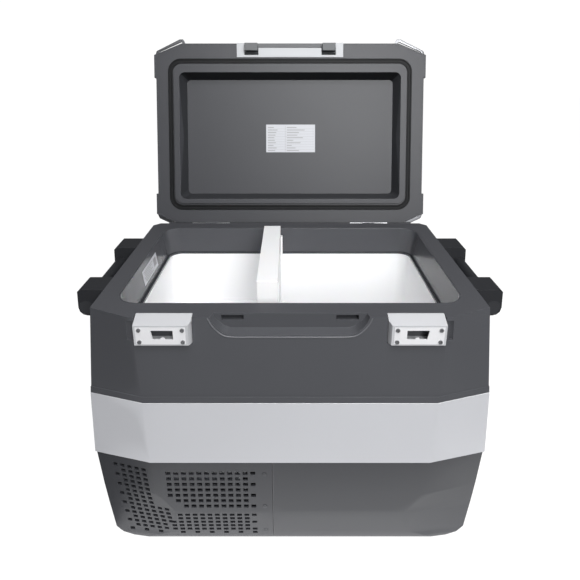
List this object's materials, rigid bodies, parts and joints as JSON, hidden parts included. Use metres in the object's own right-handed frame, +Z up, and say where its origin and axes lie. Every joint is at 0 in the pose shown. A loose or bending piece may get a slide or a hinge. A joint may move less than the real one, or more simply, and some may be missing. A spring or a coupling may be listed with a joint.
{
  "type": "compressor cooler fridge",
  "caption": "Portable compressor cooler fridge with open hinged lid, divided white liner, faceted grey plastic body with silver band, side grab handles, latch with bottle openers",
  "frame": {"origin": "centre of the bottom of the bounding box, on the ground under the rubber feet", "axes": "+Z up, -Y is the front where the latch is, +X to the right seen from the front; the lid stands open towards +Y"},
  "size_m": [0.751, 0.639, 0.8925],
  "materials": {
    "body_plastic": "textured matte",
    "collar_plastic": "semi gloss",
    "band_plastic": "satin",
    "base_plastic": "textured matte",
    "clear_trim": "gloss",
    "liner_white": "satin",
    "foam": "foam",
    "black_plastic": "fine texture",
    "lid_plastic": "textured matte",
    "silver_paint": "satin",
    "steel": "brushed",
    "painted_steel": "gloss",
    "alu": "plain",
    "copper": "plain",
    "rubber_black": "matte",
    "label_white": "satin",
    "board_green": "matte"
  },
  "bodies": {
    "cabinet": {"band_shell": "band_plastic", "base_shell": "base_plastic", "breaker_strip": "clear_trim", "catch_plates": "steel", "collar_label": "label_white", "compressor": "painted_steel", "compressor_tray": "painted_steel", "condenser": "alu", "control_bezel": "black_plastic", "control_module": "black_plastic", "display_board": "board_green", "display_lens": "clear_trim", "drain_elbow": "black_plastic", "evaporator_plate": "alu", "fan_shroud": "black_plastic", "filter_drier": "copper", "foam_insulation": "foam", "grip_end_caps": "black_plastic", "grommets": "rubber_black", "handle_brackets_left": "black_plastic", "handle_brackets_right": "black_plastic", "handle_grip_left": "black_plastic", "handle_grip_right": "black_plastic", "hinge_leaves_cabinet": "steel", "hinge_pins": "steel", "hinge_screws_cabinet": "steel", "inlet_contacts": "steel", "inner_collar": "collar_plastic", "latch_block_left": "silver_paint", "latch_block_right": "silver_paint", "liner": "liner_white", "mount_bolts": "steel", "opener_plates": "silver_paint", "opener_screws": "steel", "panel_screws": "steel", "power_inlet_housing": "black_plastic", "power_supply": "painted_steel", "refrigerant_pipes": "copper", "rubber_feet": "rubber_black", "upper_shell": "body_plastic", "vent_grille_panel": "base_plastic"},
    "lid": {"lid_inner_panel": "lid_plastic", "lid_gasket": "rubber_black", "lid_foam": "foam", "latch_insert": "silver_paint", "latch_spindle": "steel", "latch_springs": "steel", "lid_shell": "lid_plastic", "tie_down_loops": "steel", "lid_label": "label_white", "hinge_leaves_lid": "steel", "hinge_screws_lid": "steel"},
    "latch_handle": {"latch_handle": "silver_paint"},
    "divider": {"divider": "liner_white"},
    "fan_rotor": {"fan_rotor": "black_plastic"},
    "drain_plug": {"drain_plug": "rubber_black"},
    "button_power": {"button_power": "black_plastic"},
    "button_set": {"button_set": "black_plastic"},
    "button_up": {"button_up": "black_plastic"},
    "button_down": {"button_down": "black_plastic"}
  },
  "joints": [
    {"name": "lid_hinge", "type": "hinge", "parent": "cabinet", "child": "lid", "pos_m": [0, 0.15168, 0.458], "axis": [-1, 0, 0], "range_deg": [-104, 0]},
    {"name": "latch_swing", "type": "hinge", "parent": "lid", "child": "latch_handle", "pos_m": [0, 0.28579, 0.86154], "axis": [-1, 0, 0], "range_deg": [0, 38], "stiffness_Nm_per_rad": 0.4},
    {"name": "divider_lift", "type": "slide", "parent": "cabinet", "child": "divider", "axis": [0, 0, 1], "range_m": [0, 0.3]},
    {"name": "fan_spin", "type": "hinge", "parent": "cabinet", "child": "fan_rotor", "pos_m": [-0.177, -0.18032, 0.106], "axis": [0, 1, 0], "continuous": true},
    {"name": "drain_plug_pull", "type": "slide", "parent": "cabinet", "child": "drain_plug", "axis": [1, 0, 0], "range_m": [0, 0.03]},
    {"name": "button_power_press", "type": "slide", "parent": "cabinet", "child": "button_power", "axis": [1, 0, 0], "range_m": [0, 0.0015], "stiffness_N_per_m": 800},
    {"name": "button_set_press", "type": "slide", "parent": "cabinet", "child": "button_set", "axis": [1, 0, 0], "range_m": [0, 0.0015], "stiffness_N_per_m": 800},
    {"name": "button_up_press", "type": "slide", "parent": "cabinet", "child": "button_up", "axis": [1, 0, 0], "range_m": [0, 0.0015], "stiffness_N_per_m": 800},
    {"name": "button_down_press", "type": "slide", "parent": "cabinet", "child": "button_down", "axis": [1, 0, 0], "range_m": [0, 0.0015], "stiffness_N_per_m": 800}
  ]
}
